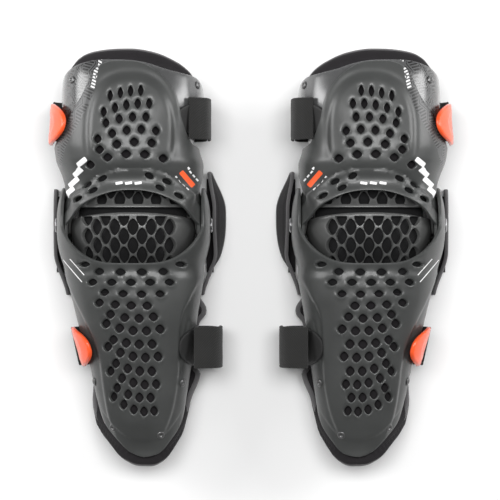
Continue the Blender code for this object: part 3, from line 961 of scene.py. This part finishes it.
FOAM_FABRIC = cloth("foam_fabric", (0.012, 0.0105, 0.012), 0.0011, sheen=0.05)
PAD_FABRIC = cloth("pad_fabric", (0.006, 0.006, 0.0065), 0.0014, sheen=0.02)
BINDING_TAPE = cloth("binding_tape", (0.10, 0.097, 0.10), 0.0008, sheen=0.3)
WEBBING = cloth("webbing", (0.020, 0.0195, 0.019), 0.0010, sheen=0.08)
HOOK_TAPE = cloth("hook_tape", (0.016, 0.016, 0.0155), 0.0016, sheen=0.1)
THREAD = cloth("thread", (0.055, 0.055, 0.055), 0.0005, sheen=0.3)
CLIP_ORANGE = smooth_plastic("clip_orange", (1.0, 0.105, 0.022), 0.32, Coat_Weight=0.3)
RUBBER = moulded_plastic("black_rubber", (0.009, 0.009, 0.009), 0.6).material
INK_WHITE = smooth_plastic("ink_white", (0.82, 0.82, 0.82), 0.5)
INK_ORANGE = smooth_plastic("ink_orange", (0.9, 0.12, 0.03), 0.45)
RIVET_METAL = smooth_plastic("rivet_metal", (0.14, 0.14, 0.14), 0.32, Metallic=0.7)
STEEL = smooth_plastic("hinge_steel", (0.38, 0.38, 0.39), 0.3, Metallic=1.0)


def flared(outer, inner):
    """The mould, with the sides beyond the shells' edges spread out."""
    def place(turn, along, level):
        point = mould(turn, along, level)
        start = FLARE_START(along)
        behind = min(max((abs(turn) - start) / (LINER_TURN - start), 0), 1.1)
        point.x += behind * (inner(along) if turn > 0 else -outer(along))
        return point

    return place


def binding(name, body, level, place, outline):
    """A folded tape sewn round a liner's edge."""
    loop = [(x / RATE, along) for x, along in offset(outline, 0.6)][::2]
    points = [place(turn, along, level) for turn, along in loop]

    def out_hint(k):
        turn, along = loop[k]
        return outward(max(min(turn, 118), -118), along, level)

    route = framed(points, out_hint, closed=True)
    mesh = sweep(route, oval(3.6, 5.6, 8), closed_route=True)
    add(name, mesh, body, BINDING_TAPE, angle=80)


def liner(name, body, level, low, high, place):
    """A foam liner whose face swells between its bound edge and a sewn line near it."""
    outline = outline_between(low, high, LINER_TURN, corner=16)

    def face(turn, along):
        margin = min(high(turn) - along, along - low(turn), (LINER_TURN - abs(turn)) * RATE)
        return level - 1.1 * hump(margin, LINER_SEAM, 1.3)

    mesh = cut_sheet(outline, [], face, FOAM, spacing=3.2, rounding=3.8, under=1.0, place=place)
    add(name, mesh, body, FOAM_FABRIC, [name], angle=80)
    binding(f"{name}_binding", body, level - FOAM / 2, place, outline)


def knee_pad():
    """The foam behind the cup, with a moulded lattice of shallow dimples."""
    def face(turn, along):
        ripple = math.cos(turn * RATE * DIMPLE_RATE) * math.cos(along * DIMPLE_RATE)
        return PAD_LEVEL - 0.35 * (1 - ripple)

    outline = outline_between(lambda turn: PAD_LOW, lambda turn: PAD_HIGH, PAD_TURN, corner=12)
    mesh = cut_sheet(outline, [], face, 8.0, rounding=3.4, under=1.0)
    add("knee_pad", mesh, "shin", PAD_FABRIC, ["knee_pad"], angle=80)


def vent_shade_sheet(name, body, level, low, high, reach):
    """A thin dark sheet behind the first vents of a shell, where it covers the inner guards: painted shade,
    so that those vents look dark inside.
    """
    outline = outline_between(low, high, reach, corner=8)
    mesh = cut_sheet(outline, [], flat_at(level), 2.6, spacing=4.0)
    add(name, mesh, body, PAD_FABRIC, angle=80)


WING_LOW = -70.0  # a flap's lower end, along the leg
WING_TOP, WING_FLOOR = -11.0, -38.5  # its front and back edges, where it is widest
WING_CLEAR = 79.3  # from the leg's middle to a flap's inner face
WING_TUCK = 12.6  # how far its lower end leans in towards the leg
ROOT_LOW = -48.0
ROOT_OUT = -34.6


def knee_wing(name, hand, reach, thickness, high, lean):
    """A padded side flap behind the hinge. It swells between its bound edge and a sewn line."""
    def place(s, q, depth):
        """Each from -1 to 1: s along the flap, q from bottom to top, depth from inner to outer face."""
        along = WING_LOW + (high - WING_LOW) * (s + 1) / 2
        bulge = max(1 - abs((along - 8) / 50) ** 2.4, 0)
        height = WING_TOP - WING_FLOOR
        out = WING_FLOOR + height / 2 * (0.5 + 0.5 * bulge) * (1 + q)
        across = WING_CLEAR + thickness + reach * bulge * (WING_TOP - out) / height
        across -= lean * smooth(16, 52, along) + WING_TUCK * smooth(28, 76, -along)
        ends = 1 - abs(s) ** 6
        edge = max(1 - abs(q) ** 3, 0) * ends
        seam = hump(abs(q), 0.62, 0.07) + hump(abs(s), 0.9, 0.02)
        swell = thickness / 2 * (0.22 + 0.78 * edge ** 0.5) - 0.5 * min(seam, 1)
        return Vector(((across - thickness / 2 + depth * max(swell, 0.5)) * hand, along, out))

    columns, rows = 64, 20
    points, flat = [], []
    for depth in (1, -1):
        for i in range(columns + 1):
            for j in range(rows + 1):
                point = place(-1 + 2 * i / columns, -1 + 2 * j / rows, depth)
                points.append(point)
                flat.append((point.y, point.z))
    count = (columns + 1) * (rows + 1)

    def at(i, j):
        return i * (rows + 1) + j

    faces = []
    for i in range(columns):
        for j in range(rows):
            quad = [at(i, j), at(i + 1, j), at(i + 1, j + 1), at(i, j + 1)]
            faces += [quad, [v + count for v in reversed(quad)]]
    rim = [at(i, 0) for i in range(columns)] + [at(columns, j) for j in range(rows)]
    rim += [at(i, rows) for i in range(columns, 0, -1)] + [at(0, j) for j in range(rows, 0, -1)]
    faces += [[there, here, here + count, there + count] for here, there in pairs(rim)]
    mesh = closed_mesh(points, faces, flat)
    crossing = ("thigh", (0, 8, 0), (0, 46, 0))
    add(name, mesh, "shin", FOAM_FABRIC, [name], bend=crossing, angle=80)
    edge = [(points[v] + points[v + count]) / 2 for v in rim[::2]]
    route = framed(edge, lambda k: Vector((hand, 0, 0.5)), closed=True)
    tape = sweep(route, oval(2.6, 3.8, 8), closed_route=True)
    add(f"{name}_binding", tape, "shin", BINDING_TAPE, bend=crossing, angle=80)
    wing_root(name, hand, high - 6, crossing)


def wing_root(name, hand, high, crossing):
    """The strip of foam behind the ears that a flap is sewn to."""
    route = []
    for k in range(31):
        middle = Vector(((WING_CLEAR - 2.2) * hand, ROOT_LOW + (high - ROOT_LOW) * k / 30, ROOT_OUT))
        route.append((middle, Vector((hand, 0, 0)), Vector((0, 0, 1))))
    mesh = sweep(route, oval(7.5, 4.2, 10))
    add(f"{name}_root", mesh, "shin", FOAM_FABRIC, bend=crossing, angle=80)


liner("thigh_liner", "thigh", -5.4, THIGH_LINER_LOW, THIGH_LINER_HIGH, mould)
liner("shin_liner", "shin", -5.0, SHIN_LINER_LOW, SHIN_LINER_HIGH, flared(FLARE_OUTER, FLARE_INNER))
knee_pad()
# Painted shade: dark sheets behind the first vents of the shin and thigh shells.
vent_shade_sheet("shin_vent_shade", "shin", -4.6, lambda turn: -68, lambda turn: shin_high(turn) - 3.5, 52)
vent_shade_sheet("thigh_vent_shade", "thigh", -4.0, lambda turn: thigh_low(turn) + 3.5, lambda turn: 55, 42)
knee_wing("knee_wing_inner", 1, 10.0, 4.5, 54, 6.0)
knee_wing("knee_wing_outer", -1, 0.8, 2.6, 36, 0.6)

# -------- straps

UPPER_STRAP_ALONG = 106.0
LOWER_STRAP_ALONG = -123.0
FLOOR = -40.0  # the straps lie on it
UPPER_STRAP = [
    (64, 36), (70, 27), (73, 14), (73.5, -4), (72.5, -20), (68, -32), (58, -38.7), (44, FLOOR),
    (0, FLOOR), (-46, FLOOR), (-62, -38.4), (-73.5, -32), (-80, -20), (-81.5, -9)
]
UPPER_TAB = [(57, 45.5), (62, 43.3), (66, 40.5), (74, 31), (77, 16), (77.3, -3), (76, -20)]
LOWER_STRAP = [
    (66, 28), (78, 23), (84, 12), (84.6, -6), (83, -22), (79.5, -34.5), (74, FLOOR), (62, FLOOR),
    (10, FLOOR), (-24, FLOOR), (-38, -38.9), (-50, -33), (-57, -22), (-59.5, -9)
]
LOWER_TAB = [(62, 36), (70, 33.5), (82, 27), (88, 15), (89, -4), (87.5, -20)]
LOWER_STRAP_SLANT = -0.22
STRAP_WIDTH, STRAP_THICKNESS = 40, 2.2
TAB_WIDTH, TAB_THICKNESS = 42, 2.5
TAB_SEAM = 18.6  # from a tab's middle to its row of stitches


def ribbon_route(points, along, spacing, slant=0):
    """A smooth route round the leg through (across, out) points, evenly spaced.

    slant turns its far end, so that it meets a clip on a tapering shell squarely.
    """
    lengths = [0.0]
    for first, second in zip(points, points[1:]):
        lengths.append(lengths[-1] + math.dist(first, second))
    across = through([(far, p[0]) for far, p in zip(lengths, points)])
    out = through([(far, p[1]) for far, p in zip(lengths, points)])
    count = round(lengths[-1] / spacing)
    fars = [lengths[-1] * k / count for k in range(count + 1)]
    middles = [Vector((across(far), along, out(far))) for far in fars]
    route = []
    for k, here in enumerate(middles):
        forward = (middles[min(k + 1, count)] - middles[max(k - 1, 0)]).normalized()
        sideways = Vector((slant * smooth(0.7, 0.95, k / count), 1, 0)).normalized()
        route.append((here, sideways, forward.cross(sideways).normalized() * -1))
    return route


def webbing_section(width, thickness):
    """A flat ribbon's section, with thin edges and a raised selvedge at each side."""
    half = width / 2
    top = [(-half, 0), (-half + 0.5, 0.42), (-half + 1.6, 0.5), (-half + 2.6, 0.42), (-half + 3.4, 0.5)]
    across = top + [(x, 0.5) for x in (-half * 0.45, 0, half * 0.45)] + [(-x, y) for x, y in reversed(top)]
    upper = [(x, y * thickness) for x, y in across]
    lower = [(x, -y * thickness) for x, y in reversed(across[1:-1])]
    return upper + lower


def stitches(route):
    """A row of raised thread stitches near each side of a tab, short of its ends."""
    made = []
    count = len(route) - 1
    for row in (-TAB_SEAM, TAB_SEAM):
        for k in range(round(0.05 * count), round(0.95 * count)):
            here, sideways, out = route[k]
            there = route[k + 1][0]
            lift = out * (TAB_THICKNESS / 2 + 0.12) + sideways * row
            ends = [here.lerp(there, 0.12) + lift, here.lerp(there, 0.82) + lift]
            middle = (ends[0] + ends[1]) / 2 + out * 0.22
            line = framed([ends[0], middle, ends[1]], lambda _: out)
            made.append(sweep(line, oval(0.55, 0.45, 6)))
    return joined(made)


def strap(name, body, points, along, slant=0):
    route = ribbon_route(points, along, 2.5, slant)
    mesh = sweep(route, webbing_section(STRAP_WIDTH, STRAP_THICKNESS))
    add(name, mesh, body, WEBBING, [name], angle=60)


def strap_tab(name, body, points, along):
    """The strap's folded-back end: hook tape with a sewn border."""
    route = ribbon_route(points, along, 2.0)
    mesh = sweep(route, webbing_section(TAB_WIDTH, TAB_THICKNESS))
    add(name, mesh, body, HOOK_TAPE, [name], angle=60)
    add(f"{name}_stitching", stitches(route), body, THREAD)


strap("upper_strap", "thigh", UPPER_STRAP, UPPER_STRAP_ALONG)
strap("lower_strap", "shin", LOWER_STRAP, LOWER_STRAP_ALONG, LOWER_STRAP_SLANT)
strap_tab("upper_strap_tab", "thigh", UPPER_TAB, UPPER_STRAP_ALONG + 1)
strap_tab("lower_strap_tab", "shin", LOWER_TAB, LOWER_STRAP_ALONG)


def strap_base(name, body, level, middle, half, front, edge, material):
    """A dark D-shaped base on the shell, which the strap's folded end comes out of."""
    mesh = cut_sheet(d_outline(middle, half, front, edge), [], flat_at(level), 2.4, 2.0, 0.9)
    add(name, mesh, body, material)


def d_outline(middle, half, front, edge):
    """A D on the flat sheet, flat at the turn called edge and round towards the turn called front."""
    bow = [superellipse(math.pi * (k / 28 - 0.5), front - edge, half, 2.3) for k in range(29)]
    loop = [((edge + turn) * RATE, middle + along) for turn, along in bow]
    if front < edge:
        loop.reverse()
    return evenly(rounded(loop, 2.5), 1.4)


# -------- clips


def clip(name, level, middle, half, front, edge):
    """An orange D-shaped clip: domed, with a shallow oval press pad, and a black edge that it swings on."""
    def face(turn, along):
        near = ((turn + (front + edge) / 2 + 3) / 13) ** 2 + ((along - middle) / 12.5) ** 2
        dome = 1.5 * (1 - ((along - middle) / half) ** 2) * smooth(edge, edge - 22, -turn)
        return level + dome - 0.7 * (1 - smooth(0.6, 1.05, near))

    outline = d_outline(middle, half, -front, -(edge - 5))
    mesh = cut_sheet(outline, [], face, 4.0, spacing=1.7, rounding=1.5, under=0.3)
    add(name, mesh, name, CLIP_ORANGE, [name], angle=50)
    low, high = middle - half + 2.5, middle + half - 2.5
    rail = outline_between(lambda turn: low, lambda turn: high, 3.2, corner=1.2)
    rail = [(x - edge * RATE, along) for x, along in rail]
    mesh = cut_sheet(rail, [], flat_at(level + 0.9), 5.2, spacing=1.6, rounding=0.9, under=0.5)
    add(f"{name}_edge", mesh, name, RUBBER, angle=50)


clip("upper_clip", 10.4, 102, 21, 47, 93)
clip("lower_clip", 8.0, -123, 20, 45, 93)
strap_base("upper_strap_base", "thigh", 3.4, 108, 17, 38, 74, RUBBER)
strap_base("lower_strap_base", "shin", 3.0, -122, 20, 42, 84, RUBBER)

# -------- rivets and hinge hardware


RIVET = [
    (0.01, 0.5), (1.0, 0.55), (1.5, 1.15), (2.0, 1.5), (2.8, 1.45), (3.7, 1.05), (4.2, 0.45), (4.15, 0.3),
    (2.0, 0.3), (2.0, -2.0), (0.01, -2.0)
]
CLIP_STUD = [
    (0.01, 0.3), (3.2, 0.3), (3.2, 0.7), (2.3, 1.1), (2.3, 1.6), (3.1, 2.0), (3.2, 2.5), (2.6, 2.85),
    (0.01, 2.9)
]
# These two stand on the hinge's axis, with heights from the knee's side.
HINGE_PIN = [
    (0.01, 1.6), (1.6, 1.7), (2.1, 2.1), (5.2, 2.1), (6.4, 1.8), (7.3, 1.1), (7.5, 0.5), (7.4, 0.3),
    (4.0, 0.3), (4.0, -22.1), (3.6, -22.7), (0.01, -22.7)
]
HINGE_WASHER = [
    (4.3, -18.9), (4.5, -18.7), (7.7, -18.7), (8.0, -19.0), (8.0, -20.4), (7.7, -20.7), (4.5, -20.7),
    (4.3, -20.5)
]


def on_shell(name, body, profile, turn, along, level, material):
    """A turned piece that stands on a shell's face."""
    mesh = turned(profile, mould(turn, along, level), outward(turn, along, level))
    add(name, mesh, body, material, [name], angle=50)


def on_axis(name, profile, hand, ring):
    """A steel piece round the hinge's axis at one side."""
    mesh = turned(profile, Vector((KNEE_WIDTH * hand, 0, 0)), Vector((hand, 0, 0)), 40, ring)
    add(name, mesh, "shin", STEEL, [name], angle=45)


for name, turn, along in (("inner", 63, 141), ("outer", -52, 146)):
    on_shell(f"thigh_rivet_{name}", "thigh", RIVET, turn, along, PLATE_LEVEL, RIVET_METAL)
for name, across, along in (("outer_upper", -39, -158), ("inner_upper", 50, -159),
                            ("outer_lower", -20, -204), ("inner_lower", 28, -211)):
    turn = turn_at(across, along)
    on_shell(f"shin_rivet_{name}", "shin", RIVET, turn, along, 0.0, RIVET_METAL)
for name, hand in (("inner", 1), ("outer", -1)):
    on_axis(f"hinge_pin_{name}", HINGE_PIN, hand, ring=False)
    on_axis(f"hinge_washer_{name}", HINGE_WASHER, hand, ring=True)
on_shell("upper_clip_stud", "thigh", CLIP_STUD, -76, 102, PLATE_LEVEL, STEEL)
on_shell("lower_clip_stud", "shin", CLIP_STUD, -76, -123, 0.0, STEEL)

# -------- printed marks, all plain shapes

INK = 0.3


def mark(name, shapes, body, material):
    """Thin raised ink in these closed shapes, as seen from the front, on a shell's face."""
    level = {"thigh": thigh_level, "shin": shin_level}[body]
    meshes = []
    for shape in shapes:
        loop = [(turn_at(x, y, level(0, y)) * RATE, y) for x, y in evenly(shape, 1.2)]
        meshes.append(cut_sheet(loop, [], lambda turn, y: level(turn, y) + INK / 2, INK, 1.6, 0.1))
    add(name, joined(meshes), body, material)


def bar(middle, length, width, angle):
    """A straight bar with rounded corners, leaning by an angle from across, in degrees."""
    along = Vector((math.cos(math.radians(angle)), math.sin(math.radians(angle))))
    aside = Vector((-along.y, along.x))
    corners = [(-1, -1), (1, -1), (1, 1), (-1, 1)]
    loop = [Vector(middle) + along * a * length / 2 + aside * b * width / 2 for a, b in corners]
    return rounded([tuple(p) for p in loop], min(width, length) * 0.25)


def marks():
    steps = [(-65.0 + 5.2 * k, 33.0 + 9.8 * k) for k in range(4)]
    bars = [bar(middle, 14 - k, 5.4, 38) for k, middle in enumerate(steps)]
    mark("outer_mark", bars, "thigh", INK_WHITE)
    bars = [bar((x, 41.5), 7.0, 2.6, 8) for x in (-12, -2.5, 7)]
    mark("band_mark", bars, "thigh", INK_WHITE)
    mark("inner_mark", [bar((56.5, 46.0), 19, 5.2, -48)], "thigh", INK_ORANGE)
    dashes = []
    for row in (-1, 1):
        for k in range(4):
            run = -8 + 5.0 * k
            x = 56.5 + row * 5.2 + run * 0.67
            y = 46.0 + row * 4.6 - run * 0.74
            dashes.append(bar((x, y), 3.2, 1.7, -48))
    mark("inner_dashes", dashes, "thigh", INK_WHITE)
    lines = [bar((-60.0, -46.0), 30, 0.9, -47), bar((-55.0, -42.0), 22, 0.9, -47)]
    mark("shin_mark", lines, "shin", INK_WHITE)


marks()

# -------- floor, light and camera


def stage():
    mesh = bpy.data.meshes.new("floor")
    built = bmesh.new()
    bmesh.ops.create_grid(built, x_segments=2, y_segments=2, size=6.0)
    built.to_mesh(mesh)
    mesh.materials.append(Shader("floor_white", (0.9, 0.9, 0.9), 0.8).material)
    floor = linked("floor", mesh)
    floor.location.z = -0.0005
    floor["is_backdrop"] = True


def light(name, place, target, size, power):
    lamp = bpy.data.lights.new(name, "AREA")
    lamp.shape = "RECTANGLE"
    lamp.size, lamp.size_y = size
    lamp.energy = power
    obj = linked(name, lamp)
    obj.location = place
    obj.rotation_euler = (Vector(target) - Vector(place)).to_track_quat("-Z", "Y").to_euler()


def camera():
    """Straight above, with a long lens: the picture is half a metre across at the shells' height."""
    lens = bpy.data.cameras.new("camera")
    lens.lens = 200
    lens.sensor_width = 36
    obj = linked("camera", lens)
    height = 0.5 * lens.lens / lens.sensor_width
    obj.location = (-0.001, 0.008, 0.085 + height)
    bpy.context.scene.camera = obj


def world():
    made = bpy.data.worlds.new("studio")
    made.use_nodes = True
    background = made.node_tree.nodes["Background"]
    background.inputs["Color"].default_value = (1, 1, 1, 1)
    background.inputs["Strength"].default_value = 0.2
    bpy.context.scene.world = made
    bpy.context.scene.view_settings.view_transform = "Standard"


stage()
world()
light("top_box", (0.0, 0.3, 1.9), (0, 0.02, 0.05), (1.5, 0.6), 32)
for name, side in (("left_box", -1), ("right_box", 1)):
    light(name, (1.25 * side, 0.5, 0.62), (0, 0, 0.05), (0.6, 0.8), 11)
camera()

boxes = {"cad": cad_box, "visual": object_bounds()}
{name: [list(corner) for corner in box] for name, box in boxes.items()}
